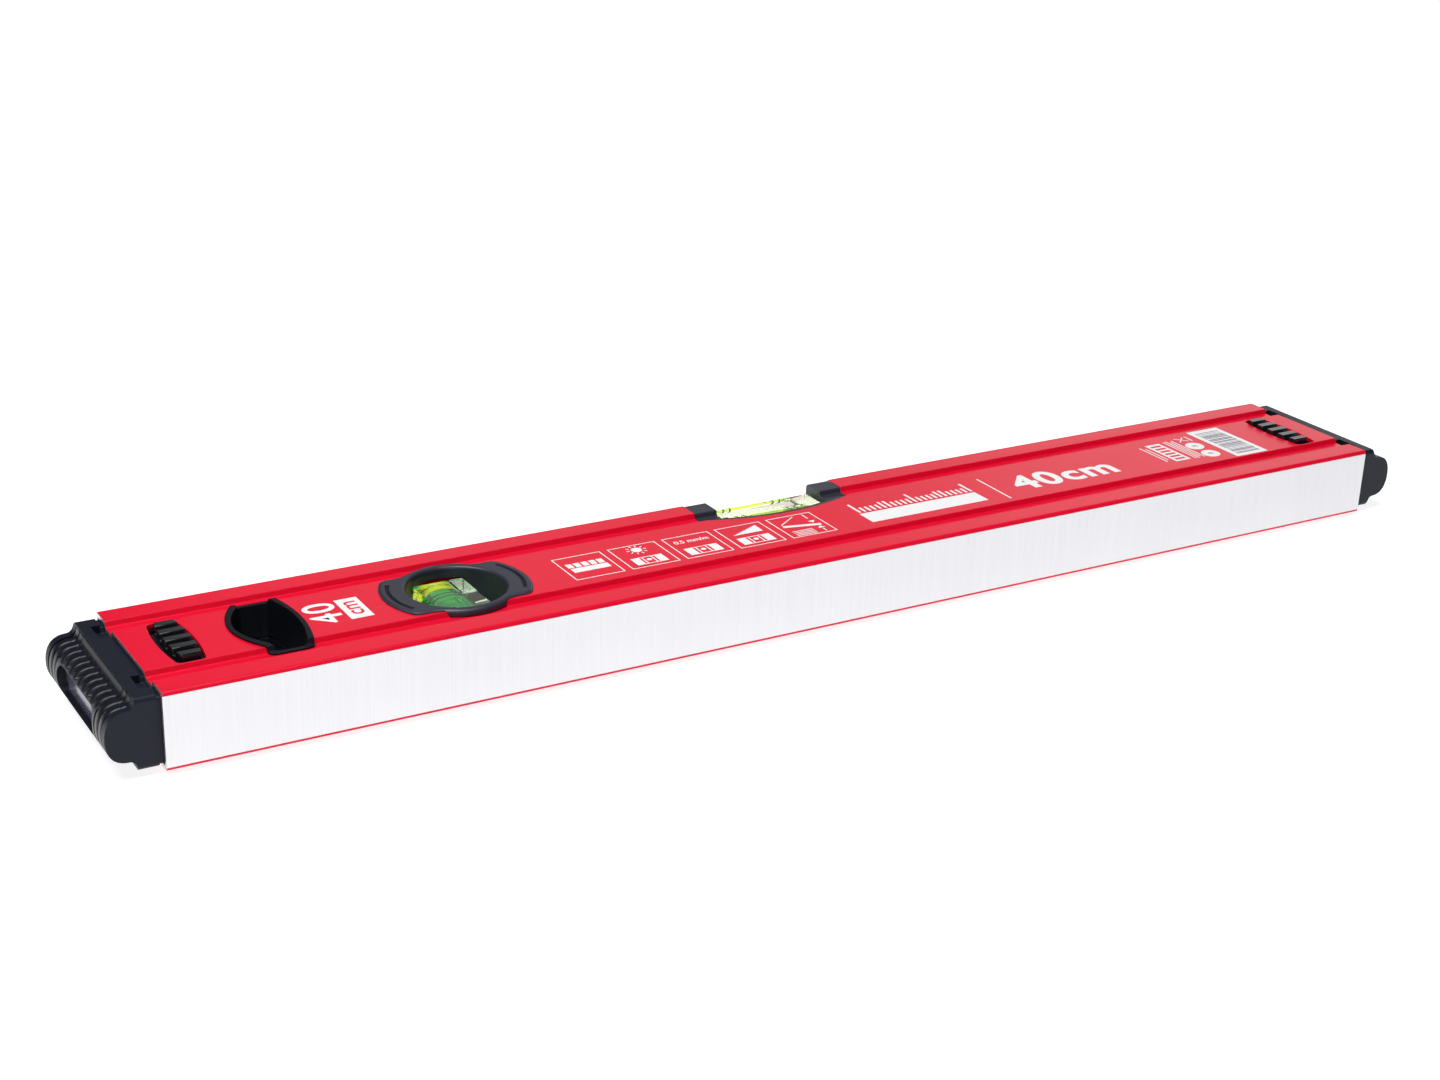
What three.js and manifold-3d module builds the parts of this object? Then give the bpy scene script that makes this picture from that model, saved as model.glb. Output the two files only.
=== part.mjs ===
// A 40 cm box-section spirit level, lying on its back face.
// Millimetres, +Z up. +X runs along the level, -Y is the milled measuring edge, +Z the printed face.
import * as THREE from 'three';
import { mergeVertices } from 'three/addons/utils/BufferGeometryUtils.js';
import Module from 'manifold-3d';

const wasm = await Module();
wasm.setup();

// ---- driving dimensions -------------------------------------------------------------------------

const GAP = 0.3; // clearance between neighbouring pieces
const SEAT = 0.1; // clearance under mouldings that lie on the faces
const MELD = 0.1; // how far solids that are joined run into each other
const EPS = 1; // how far a cutter runs past the face it cuts

// Flats on the curves: round a bezel, a bore and a bubble, and along each curve of an outline.
const STEPS = { bezel: 32, bore: 16, bubble: 16, scoop: 12, outline: 6, plate: 6, slot: 4, pad: 3 };

const PROFILE = { length: 375, halfWidth: 25.5, halfThick: 10, wall: 1.2, corner: 1 };
const GROOVE = { inner: 12.6, outer: 18.3, slope: 0.5, depth: 1.4 };
const CAVITY = {
  halfWidth: PROFILE.halfWidth - PROFILE.wall,
  halfThick: PROFILE.halfThick - PROFILE.wall,
  grooveInner: GROOVE.inner - GAP,
  grooveOuter: GROOVE.outer + GAP,
};
const BORE_CORNER = 0.4; // inside corners of the profile
const MIDPLANE = 0.2; // where mouldings that meet their twin behind them stop

// Latch windows and pads: outlines with bulged sides. A pad is placed from its cap's seat.
const WINDOW = { fromEnd: 11.55, side: 4.6, sideEnd: 3.7, half: 12.1, corner: 1.8 };
const PAD = { fromSeat: 11.85, side: 3.3, sideEnd: 2.6, half: 10.6, corner: 1, proud: 1.1 };
const PAD_RIB = { count: 5, pitch: 4.6, foot: 3.4, crown: 2.4, round: 0.5, sunk: 0.2 };
const PAD_BASE = { low: 8.5, high: 9.4 };
const ARM = { root: -1.5, tip: -16, halfWidth: 10, low: 6.7, high: 8.2 };

// End caps, in a frame whose +X points out of the profile's end.
const CAP_PLUG = { inner: -20, corner: 0.8 };
const CAP_FLANGE = { neck: 1, notchEnd: 3.2, end: 5.9, halfThick: 9.2, corner: 1.5, notchDepth: 2.2 };
const CAP_END = { reach: 13.25, rimHalf: 9.05, valley: 6.2, bulgeStart: 8, bulgeHalf: 6.3, shoulder: 12 };
const CAP_PLATE = { inner: 21.8 };
const CAP_RECESS = { end: -1.2, floor: 2 }; // above and below, under the latch arms
const CAP_HOLLOW = { end: -3, inner: 14.2, outer: 22.4, half: 5.5 }; // one on each side of the recesses
const CAP_CORE = { reach: 10.9, half: 4 };
const CAP_SLOT = { half: 14.5, halfHeight: 3.8, corner: 3 };
const BUMPER_RIB = { count: 9, pitch: 3.4, width: 1.8, depth: 0.9 };
const BUMPER_RINGS = [[16, 18.2], [19, 21.5]];
const RIGHT_CAP_PUSHED_IN = 0.7; // the right cap rests at the inner end of its play

// Acrylic block vials, built along X.
const VIAL = { half: 7.2, bore: 4.6, wall: 2.8, corner: 0.5 };
const RING = { inner: 4.7, outer: 5, width: 0.6 };
const CHANNEL = { floor: 0.9, fromEnd: 0.7 }; // the room in the liquid for the bubble
const BUBBLE = { halfWidth: 3, halfHeight: 1.35, height: 2.55 };
const HORIZONTAL = { halfLength: 16.4, y: 17.2, bubble: 6.7, lines: [-9.35, -7.15, 7.15, 9.35] };
const PLUMB = { x: -103.9, halfLength: 11.6, bubble: 3.9, lines: [-6.1, -4.3, 4.3, 6.1] };

// Cut-out for the horizontal vial in the top edge.
const CUTOUT = { half: 24, scoopLow: 8.2, scoopRadius: 66 };
const HOLDER = { blockInner: 17, lip: 1.2, floorLow: 8.4, floorHigh: 9.6, halfThick: 9.8, under: 0.2 };

// Plumb vial bezels: a ring that stands in the grooves, with a lug on each side that lies on the face.
const BEZEL = {
  hole: 14.2, bore: 12.7, barrel: 13.8, ring: 15.3, ringAngle: 1.05, plate: 0.5, notchHalf: 14.4,
  lugRadius: 19.6, lugHalf: 11.8, lugRound: 1.6, lugEase: 0.8, lugFlat: 3, blend: 2.2, blendDrop: 0.2,
};
const BEZEL_SLOT = { inner: 16.5, outer: 17.5, halfAngle: 0.48, depth: 0.3 };

// Hang hole and its liner, drawn about the hole's middle. The liner's rim follows the grooves.
const HANG = {
  x: -154.1, left: -8.9, leftEnd: -4.2, right: 9.3, rightEnd: 7.5, half: 15.2, corner: 2.2,
  holeInset: 0.45, tubeInset: 0.75, openInset: 1.3, rim: 0.45,
};

// ---- solids -------------------------------------------------------------------------------------

function solid(geometry) {
  const bare = geometry.clone();
  bare.deleteAttribute('normal');
  bare.deleteAttribute('uv');
  const merged = mergeVertices(bare, 1e-4);
  return new wasm.Manifold(new wasm.Mesh({
    numProp: 3,
    vertProperties: merged.attributes.position.array,
    triVerts: new Uint32Array(merged.index.array),
  }));
}

function geometryOf(body) {
  const { vertProperties, triVerts } = body.getMesh();
  const geometry = new THREE.BufferGeometry();
  geometry.setAttribute('position', new THREE.BufferAttribute(new Float32Array(vertProperties), 3));
  geometry.setIndex(new THREE.BufferAttribute(new Uint32Array(triVerts), 1));
  geometry.computeVertexNormals();
  return geometry;
}

const join = (bodies) => bodies.reduce((whole, body) => whole.add(body));

// Extrudes a shape drawn in X, Y between two heights.
function extrudeZ(shape, low, high, curveSegments = STEPS.outline) {
  const geometry = new THREE.ExtrudeGeometry(shape, {
    depth: high - low, bevelEnabled: false, curveSegments,
  });
  return solid(geometry.translate(0, 0, low));
}

// Extrudes a shape drawn in Y, Z between two stations along X.
function extrudeX(shape, low, high, curveSegments = 2) {
  const geometry = new THREE.ExtrudeGeometry(shape, {
    depth: high - low, bevelEnabled: false, curveSegments,
  });
  const turn = new THREE.Matrix4().makeBasis(
    new THREE.Vector3(0, 1, 0), new THREE.Vector3(0, 0, 1), new THREE.Vector3(1, 0, 0));
  return solid(geometry.applyMatrix4(turn).translate(low, 0, 0));
}

// Extrudes a shape drawn in X, Z between two stations along Y.
function extrudeY(shape, low, high, curveSegments = 3) {
  const geometry = new THREE.ExtrudeGeometry(shape, {
    depth: high - low, bevelEnabled: false, curveSegments,
  });
  return solid(geometry.rotateX(Math.PI / 2).translate(0, high, 0));
}

function box([x0, x1], [y0, y1], [z0, z1]) {
  const geometry = new THREE.BoxGeometry(x1 - x0, y1 - y0, z1 - z0);
  return solid(geometry.translate((x0 + x1) / 2, (y0 + y1) / 2, (z0 + z1) / 2));
}

// Turns a profile of [radius, station] points about X.
function turnX(points, segments) {
  const profile = points.map(([radius, station]) => new THREE.Vector2(radius, station));
  return solid(new THREE.LatheGeometry(profile, segments).rotateZ(-Math.PI / 2));
}

// Turns a profile of [radius, height] points about Z.
function turnZ(points, segments) {
  const profile = points.map(([radius, height]) => new THREE.Vector2(radius, height));
  return solid(new THREE.LatheGeometry(profile, segments).rotateX(Math.PI / 2));
}

// ---- outlines -----------------------------------------------------------------------------------

// The level's section in Y, Z: a box with two shallow grooves along each face.
function grooved({ halfWidth, halfThick, corner, inner, outer, depth = GROOVE.depth }) {
  const { slope } = GROOVE;
  const floor = halfThick - depth;
  const rightGroove = [
    [inner, halfThick], [inner + slope, floor], [outer - slope, floor], [outer, halfThick],
  ];
  const leftGroove = rightGroove.map(([y, z]) => [-y, z]).reverse();
  const face = [...leftGroove, ...rightGroove];
  const shape = new THREE.Shape();
  shape.moveTo(-halfWidth + corner, halfThick);
  face.forEach(([y, z]) => shape.lineTo(y, z));
  shape.lineTo(halfWidth - corner, halfThick);
  shape.absarc(halfWidth - corner, halfThick - corner, corner, Math.PI / 2, 0, true);
  shape.absarc(halfWidth - corner, corner - halfThick, corner, 0, -Math.PI / 2, true);
  face.toReversed().forEach(([y, z]) => shape.lineTo(y, -z));
  shape.absarc(corner - halfWidth, corner - halfThick, corner, -Math.PI / 2, -Math.PI, true);
  shape.absarc(corner - halfWidth, halfThick - corner, corner, Math.PI, Math.PI / 2, true);
  return shape;
}

// The profile's section, grown by a margin all round.
const grownProfile = (margin) => grooved({
  ...PROFILE,
  halfWidth: PROFILE.halfWidth + margin,
  halfThick: PROFILE.halfThick + margin,
  inner: GROOVE.inner + margin,
  outer: GROOVE.outer - margin,
});

function roundedBox(halfWidth, halfHeight, corner) {
  const shape = new THREE.Shape();
  const [w, h] = [halfWidth - corner, halfHeight - corner];
  shape.absarc(w, h, corner, 0, Math.PI / 2);
  shape.absarc(-w, h, corner, Math.PI / 2, Math.PI);
  shape.absarc(-w, -h, corner, Math.PI, 1.5 * Math.PI);
  shape.absarc(w, -h, corner, 1.5 * Math.PI, 2 * Math.PI);
  return shape;
}

// A tall outline with bulged sides, flat ends and rounded corners.
function bulged({ left, leftEnd, right, rightEnd, half, corner }, inset = 0) {
  const [top, side] = [half - inset, half - inset - corner];
  const [l, lEnd, r, rEnd] = [left + inset, leftEnd + inset, right - inset, rightEnd - inset];
  const shape = new THREE.Shape();
  shape.moveTo(rEnd, -side);
  shape.quadraticCurveTo(2 * r - rEnd, 0, rEnd, side);
  shape.quadraticCurveTo(rEnd, top, rEnd - corner, top);
  shape.lineTo(lEnd + corner, top);
  shape.quadraticCurveTo(lEnd, top, lEnd, side);
  shape.quadraticCurveTo(2 * l - lEnd, 0, lEnd, -side);
  shape.quadraticCurveTo(lEnd, -top, lEnd + corner, -top);
  shape.lineTo(rEnd - corner, -top);
  shape.quadraticCurveTo(rEnd, -top, rEnd, -side);
  return shape;
}

const barrel = ({ side, sideEnd, half, corner }) =>
  bulged({ left: -side, leftEnd: -sideEnd, right: side, rightEnd: sideEnd, half, corner });

// A slot open towards +Y whose bottom is a shallow arc.
function scooped(half, inset, top) {
  const centre = CUTOUT.scoopLow + CUTOUT.scoopRadius;
  const radius = CUTOUT.scoopRadius - inset;
  const angle = Math.asin(half / radius);
  const shape = new THREE.Shape();
  shape.moveTo(half, top);
  shape.lineTo(half, centre - radius * Math.cos(angle));
  shape.absarc(0, centre, radius, angle - Math.PI / 2, -angle - Math.PI / 2, true);
  shape.lineTo(-half, top);
  return shape;
}

// The cap's end in X, Z: a rim, a finger valley and a rounded bulge, the same above and below.
function capEnd(start, inset = 0) {
  const { reach, rimHalf, valley, bulgeStart, bulgeHalf, shoulder } = CAP_END;
  const [rim, bulge, tip] = [rimHalf - inset, bulgeHalf - inset, reach - inset];
  const shape = new THREE.Shape();
  shape.moveTo(start, -rim);
  shape.lineTo(CAP_FLANGE.end, -rim);
  shape.quadraticCurveTo(valley, -bulge, bulgeStart, -bulge);
  shape.bezierCurveTo(shoulder - inset, -bulge, tip, -bulge / 2, tip, 0);
  shape.bezierCurveTo(tip, bulge / 2, shoulder - inset, bulge, bulgeStart, bulge);
  shape.quadraticCurveTo(valley, bulge, CAP_FLANGE.end, rim);
  shape.lineTo(start, rim);
  return shape;
}

// The bezel seen from the front: a ring with a rounded lug on each side.
function bezelPlate() {
  const { ring, ringAngle, lugRadius, lugHalf, lugRound, lugEase, lugFlat, blend, blendDrop } = BEZEL;
  const lugAngle = Math.asin((lugHalf - lugRound) / lugRadius);
  const lugX = lugRadius * Math.cos(lugAngle);
  const [ringX, ringY] = [ring * Math.cos(ringAngle), ring * Math.sin(ringAngle)];
  const [easeX, flatX, blendX, blendY] = [
    lugX - lugEase, lugX - lugFlat, ringX + blend, lugHalf - blendDrop,
  ];
  const shape = new THREE.Shape();
  shape.absarc(0, 0, lugRadius, -lugAngle, lugAngle);
  shape.quadraticCurveTo(easeX, lugHalf, flatX, lugHalf);
  shape.quadraticCurveTo(blendX, blendY, ringX, ringY);
  shape.absarc(0, 0, ring, ringAngle, Math.PI - ringAngle);
  shape.quadraticCurveTo(-blendX, blendY, -flatX, lugHalf);
  shape.quadraticCurveTo(-easeX, lugHalf, -lugX, lugHalf - lugRound);
  shape.absarc(0, 0, lugRadius, Math.PI - lugAngle, Math.PI + lugAngle);
  shape.quadraticCurveTo(-easeX, -lugHalf, -flatX, -lugHalf);
  shape.quadraticCurveTo(-blendX, -blendY, -ringX, -ringY);
  shape.absarc(0, 0, ring, Math.PI + ringAngle, 2 * Math.PI - ringAngle);
  shape.quadraticCurveTo(blendX, -blendY, flatX, -lugHalf);
  shape.quadraticCurveTo(easeX, -lugHalf, lugX, lugRound - lugHalf);
  return shape;
}

function arcSlot({ inner, outer, halfAngle }, middle) {
  const shape = new THREE.Shape();
  shape.absarc(0, 0, outer, middle - halfAngle, middle + halfAngle);
  shape.absarc(0, 0, inner, middle + halfAngle, middle - halfAngle, true);
  return shape;
}

// ---- materials and nodes ------------------------------------------------------------------------

const FINISHES = {
  paint: { color: 0xd8121c, roughness: 0.35, metalness: 0.1 },
  hardPlastic: { color: 0x1c2026, roughness: 0.45, metalness: 0 },
  rubber: { color: 0x16181c, roughness: 0.6, metalness: 0 },
  padPlastic: { color: 0x111214, roughness: 0.2, metalness: 0 },
  acrylic: { color: 0xf2ffe0, roughness: 0.03, metalness: 0, transparent: true, opacity: 0.35 },
  plug: { color: 0xe8e2b0, roughness: 0.3, metalness: 0 },
  liquid: { color: 0xc8e81e, roughness: 0.02, metalness: 0, transparent: true, opacity: 0.6 },
  bubble: { color: 0xf4f8f0, roughness: 0.02, metalness: 0, transparent: true, opacity: 0.5 },
  line: { color: 0x0a0a0a, roughness: 0.5, metalness: 0 },
};

function node(name, body, finish) {
  const mesh = new THREE.Mesh(geometryOf(body), new THREE.MeshStandardMaterial(FINISHES[finish]));
  mesh.name = name;
  return mesh;
}

// ---- profile ------------------------------------------------------------------------------------

function profileBody() {
  const halfLength = PROFILE.length / 2;
  const depth = PROFILE.halfThick + EPS;
  const outside = grooved({ ...PROFILE, inner: GROOVE.inner, outer: GROOVE.outer });
  const inside = grooved({
    ...CAVITY, corner: BORE_CORNER, inner: CAVITY.grooveInner, outer: CAVITY.grooveOuter,
  });
  const window = extrudeZ(barrel(WINDOW), -depth, depth);
  const cuts = [
    extrudeX(inside, -halfLength - EPS, halfLength + EPS),
    window.translate([WINDOW.fromEnd - halfLength, 0, 0]),
    window.translate([halfLength - WINDOW.fromEnd, 0, 0]),
    extrudeZ(bulged(HANG, HANG.holeInset), -depth, depth).translate([HANG.x, 0, 0]),
    turnZ([[0, -depth], [BEZEL.hole, -depth], [BEZEL.hole, depth], [0, depth]], STEPS.bezel)
      .translate([PLUMB.x, 0, 0]),
    extrudeZ(scooped(CUTOUT.half, 0, PROFILE.halfWidth + EPS), -depth, depth, STEPS.scoop),
  ];
  return cuts.reduce((body, cut) => body.subtract(cut), extrudeX(outside, -halfLength, halfLength));
}

// ---- end caps with their latches ----------------------------------------------------------------

function capShell() {
  const halfWidth = CAVITY.halfWidth - GAP;
  const plugHalfThick = CAVITY.halfThick - GAP;
  const { inner, corner } = CAP_PLUG;
  const { neck, notchEnd, end, halfThick, notchDepth } = CAP_FLANGE;
  const grooves = { inner: CAVITY.grooveInner - GAP, outer: CAVITY.grooveOuter + GAP };
  const plug = grooved({ halfWidth, halfThick: plugHalfThick, corner, ...grooves });
  const notched = grooved({ halfWidth, halfThick, corner: CAP_FLANGE.corner, depth: notchDepth, ...grooves });
  const flange = roundedBox(halfWidth, halfThick, CAP_FLANGE.corner);
  const plateStart = notchEnd + 1;
  const trim = extrudeX(flange, notchEnd, CAP_END.reach + EPS);
  const recessHalf = CAVITY.grooveInner + GAP;
  const recessTop = plugHalfThick + EPS;
  const solids = [
    extrudeX(plug, inner, notchEnd + MELD),
    extrudeX(notched, neck, notchEnd + MELD),
    extrudeX(flange, notchEnd, end),
    extrudeY(capEnd(plateStart), CAP_PLATE.inner, halfWidth).intersect(trim),
    extrudeY(capEnd(plateStart), -halfWidth, -CAP_PLATE.inner).intersect(trim),
    box([plateStart, CAP_CORE.reach], [-CAP_PLATE.inner - MELD, CAP_PLATE.inner + MELD],
      [-CAP_CORE.half, CAP_CORE.half]),
  ];
  const recess = [inner - EPS, CAP_RECESS.end];
  const hollow = [inner - EPS, CAP_HOLLOW.end];
  const hollowThick = [-CAP_HOLLOW.half, CAP_HOLLOW.half];
  const cuts = [
    box(recess, [-recessHalf, recessHalf], [CAP_RECESS.floor, recessTop]),
    box(recess, [-recessHalf, recessHalf], [-recessTop, -CAP_RECESS.floor]),
    box(hollow, [CAP_HOLLOW.inner, CAP_HOLLOW.outer], hollowThick),
    box(hollow, [-CAP_HOLLOW.outer, -CAP_HOLLOW.inner], hollowThick),
  ];
  return cuts.reduce((body, cut) => body.subtract(cut), join(solids));
}

function capBumper() {
  const { count, pitch, width, depth } = BUMPER_RIB;
  const half = CAP_PLATE.inner - GAP;
  const start = CAP_FLANGE.end - 1;
  const band = (low, high) => extrudeY(capEnd(start), low, high);
  const solids = [extrudeY(capEnd(start, depth), -half, half)];
  for (let i = 0; i < count; i += 1) {
    const middle = (i - (count - 1) / 2) * pitch;
    solids.push(band(middle - width / 2, middle + width / 2));
  }
  for (const [low, high] of BUMPER_RINGS) {
    solids.push(band(low, high), band(-high, -low));
  }
  const slot = extrudeX(roundedBox(CAP_SLOT.half, CAP_SLOT.halfHeight, CAP_SLOT.corner),
    CAP_CORE.reach - EPS, CAP_END.reach + EPS, STEPS.slot);
  const core = box([0, CAP_CORE.reach + GAP], [-half - EPS, half + EPS],
    [-CAP_CORE.half - GAP, CAP_CORE.half + GAP]);
  const behindRim = box([0, CAP_FLANGE.end + GAP], [-half - EPS, half + EPS],
    [-CAP_FLANGE.halfThick, CAP_FLANGE.halfThick]);
  return join(solids).subtract(core).subtract(behindRim).subtract(slot);
}

function latchArm() {
  return box([ARM.tip, ARM.root], [-ARM.halfWidth, ARM.halfWidth], [ARM.low, ARM.high]);
}

// A row of ribs across a thin base, trimmed to the pad's outline.
function latchPad() {
  const { count, pitch, foot, crown, round, sunk } = PAD_RIB;
  const top = PROFILE.halfThick + PAD.proud;
  const ribFoot = PAD_BASE.low + sunk;
  const rib = new THREE.Shape();
  rib.moveTo(-foot / 2, ribFoot);
  rib.lineTo(-crown / 2, top - round);
  rib.quadraticCurveTo(-crown / 2, top, 0, top);
  rib.quadraticCurveTo(crown / 2, top, crown / 2, top - round);
  rib.lineTo(foot / 2, ribFoot);
  const bar = extrudeX(rib, -PAD.side - EPS, PAD.side + EPS);
  const solids = [extrudeZ(barrel(PAD), PAD_BASE.low, PAD_BASE.high, STEPS.pad)];
  const outline = extrudeZ(barrel(PAD), PAD_BASE.low, top + EPS, STEPS.pad);
  for (let i = 0; i < count; i += 1) {
    const y = (i - (count - 1) / 2) * pitch;
    solids.push(bar.translate([0, y, 0]).intersect(outline));
  }
  return join(solids).translate([-PAD.fromSeat, 0, 0]);
}

function endCap(side) {
  const cap = new THREE.Group();
  cap.add(node(`${side}_cap_shell`, capShell(), 'hardPlastic'));
  cap.add(node(`${side}_cap_bumper`, capBumper(), 'rubber'));
  for (const face of ['front', 'back']) {
    const latch = new THREE.Group();
    latch.add(node(`${side}_${face}_latch_arm`, latchArm(), 'hardPlastic'));
    latch.add(node(`${side}_${face}_latch_pad`, latchPad(), 'padPlastic'));
    latch.rotation.x = face === 'front' ? 0 : Math.PI;
    cap.add(latch);
  }
  return cap;
}

// ---- block vials --------------------------------------------------------------------------------

// The acrylic block with its bore, open at -X, and a small groove for each line ring.
function vialBlock({ halfLength, lines }) {
  const grooveHalf = RING.width / 2 + GAP;
  const grooveRadius = RING.outer + GAP;
  const profile = [[0, -halfLength - EPS], [VIAL.bore, -halfLength - EPS]];
  for (const x of lines) {
    profile.push([VIAL.bore, x - grooveHalf], [grooveRadius, x - grooveHalf]);
    profile.push([grooveRadius, x + grooveHalf], [VIAL.bore, x + grooveHalf]);
  }
  profile.push([VIAL.bore, halfLength - VIAL.wall], [0, halfLength - VIAL.wall]);
  const block = extrudeX(roundedBox(VIAL.half, VIAL.half, VIAL.corner), -halfLength, halfLength);
  return block.subtract(turnX(profile, STEPS.bore));
}

function vialPlug({ halfLength }) {
  const [radius, start, end] = [VIAL.bore - GAP, -halfLength, -halfLength + VIAL.wall];
  return turnX([[0, start], [radius, start], [radius, end], [0, end]], STEPS.bore);
}

const liquidHalf = ({ halfLength }) => halfLength - VIAL.wall - GAP;

// The filling, with an open channel along its upper side for the bubble.
function vialLiquid(vial) {
  const [radius, half] = [VIAL.bore - GAP, liquidHalf(vial)];
  const wholeBore = turnX([[0, -half], [radius, -half], [radius, half], [0, half]], STEPS.bore);
  const channelHalf = half - CHANNEL.fromEnd;
  return wholeBore.subtract(
    box([-channelHalf, channelHalf], [-radius - EPS, radius + EPS], [CHANNEL.floor, radius + EPS]));
}

function vialBubble({ bubble }) {
  const shape = new THREE.SphereGeometry(1, STEPS.bubble, STEPS.bubble / 2);
  shape.scale(bubble, BUBBLE.halfWidth, BUBBLE.halfHeight);
  return solid(shape.translate(0, 0, BUBBLE.height));
}

function lineRing() {
  const { inner, outer, width } = RING;
  const half = width / 2;
  return turnX([[inner, -half], [outer, -half], [outer, half], [inner, half], [inner, -half]], STEPS.bore);
}

function blockVial(name, vial) {
  const group = new THREE.Group();
  group.add(node(`${name}_vial_block`, vialBlock(vial), 'acrylic'));
  group.add(node(`${name}_vial_plug`, vialPlug(vial), 'plug'));
  group.add(node(`${name}_vial_liquid`, vialLiquid(vial), 'liquid'));
  group.add(node(`${name}_vial_bubble`, vialBubble(vial), 'bubble'));
  vial.lines.forEach((x, i) => {
    const ring = node(`${name}_line_ring_${i + 1}`, lineRing(), 'line');
    ring.position.x = x;
    group.add(ring);
  });
  return group;
}

// ---- horizontal vial holder ---------------------------------------------------------------------

function vialHolder() {
  const { blockInner, lip, floorLow, floorHigh, halfThick, under } = HOLDER;
  const half = CUTOUT.half - GAP;
  const top = PROFILE.halfWidth - under;
  const depth = halfThick + EPS;
  const grooves = { inner: GROOVE.inner, outer: GROOVE.outer };
  const section = grooved({ ...PROFILE, ...grooves, halfWidth: top, halfThick });
  const trayHalf = CAVITY.halfThick - GAP;
  const pocketHalf = VIAL.half + GAP;
  const outside = extrudeZ(scooped(half, GAP, top), -halfThick, halfThick, STEPS.scoop)
    .intersect(extrudeX(section, -half - EPS, half + EPS))
    .add(box([-half, half], [floorLow, CAVITY.grooveInner - GAP], [-trayHalf, trayHalf]));
  const opening = extrudeZ(scooped(blockInner, GAP + lip, top + EPS), -depth, depth, STEPS.scoop);
  const pocket = box([-blockInner, blockInner], [floorHigh, top + EPS], [-pocketHalf, pocketHalf]);
  return outside.subtract(opening).subtract(pocket);
}

// ---- mouldings on the faces ---------------------------------------------------------------------

const GROOVE_FLOOR = PROFILE.halfThick - GROOVE.depth;

// The part of an outline's prism that lies on the face and in its grooves, up to a height.
function seated(outline, halfLength, top, curveSegments) {
  return extrudeZ(outline, GROOVE_FLOOR, top, curveSegments)
    .subtract(extrudeX(grownProfile(SEAT), -halfLength, halfLength));
}

// One bezel, on the front face; its barrel reaches almost to the middle of the profile.
function bezel() {
  const { bore, barrel: barrelRadius, lugRadius, plate } = BEZEL;
  const face = PROFILE.halfThick + SEAT + plate;
  const tube = turnZ([
    [bore, MIDPLANE], [barrelRadius, MIDPLANE], [barrelRadius, face - MELD], [bore, face - MELD],
    [bore, MIDPLANE],
  ], STEPS.bezel);
  const eye = turnZ([[0, -EPS], [bore, -EPS], [bore, face + EPS], [0, face + EPS]], STEPS.bezel);
  const notchHalf = VIAL.half + GAP;
  const vialNotch = box([-notchHalf, notchHalf], [-BEZEL.notchHalf, BEZEL.notchHalf], [0, notchHalf]);
  const slots = [0, Math.PI].map((middle) =>
    extrudeZ(arcSlot(BEZEL_SLOT, middle), face - BEZEL_SLOT.depth, face + EPS, STEPS.plate));
  const body = seated(bezelPlate(), lugRadius + EPS, face, STEPS.plate)
    .subtract(eye)
    .add(tube)
    .subtract(vialNotch);
  return slots.reduce((whole, slot) => whole.subtract(slot), body);
}

// One hang hole liner, on the front face: a tube in the hole and a thin rim round it.
function hangLiner() {
  const top = PROFILE.halfThick + SEAT + HANG.rim;
  const reach = HANG.right + EPS;
  const draped = extrudeX(grownProfile(SEAT + HANG.rim), -reach, reach);
  return seated(bulged(HANG), reach, top)
    .add(extrudeZ(bulged(HANG, HANG.tubeInset), MIDPLANE, top))
    .intersect(draped)
    .subtract(extrudeZ(bulged(HANG, HANG.openInset), -EPS, top + EPS));
}

// ---- assembly -----------------------------------------------------------------------------------

const level = new THREE.Group();
level.add(node('aluminium_profile', profileBody(), 'paint'));

const leftCap = endCap('left');
leftCap.rotation.z = Math.PI;
leftCap.position.x = -PROFILE.length / 2;
level.add(leftCap);

const rightCap = endCap('right');
rightCap.position.x = PROFILE.length / 2 - RIGHT_CAP_PUSHED_IN;
level.add(rightCap);

level.add(node('horizontal_vial_holder', vialHolder(), 'hardPlastic'));
const horizontalVial = blockVial('horizontal', HORIZONTAL);
horizontalVial.position.y = HORIZONTAL.y;
level.add(horizontalVial);

const plumbVial = blockVial('plumb', PLUMB);
plumbVial.rotation.z = -Math.PI / 2;
plumbVial.position.x = PLUMB.x;
level.add(plumbVial);

for (const face of ['front', 'back']) {
  const turn = face === 'front' ? 0 : Math.PI;
  const plumbBezel = node(`plumb_bezel_${face}`, bezel(), 'hardPlastic');
  plumbBezel.rotation.x = turn;
  plumbBezel.position.x = PLUMB.x;
  const liner = node(`hang_hole_liner_${face}`, hangLiner(), 'hardPlastic');
  liner.rotation.x = turn;
  liner.position.x = HANG.x;
  level.add(plumbBezel, liner);
}

// The origin is under the middle of the whole level, on the plane that its back pads rest on.
level.position.set(RIGHT_CAP_PUSHED_IN / 2, 0, PROFILE.halfThick + PAD.proud);

export default level;
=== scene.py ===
import math
import random

import bmesh
import bpy
from mathutils import Matrix, Vector


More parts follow.
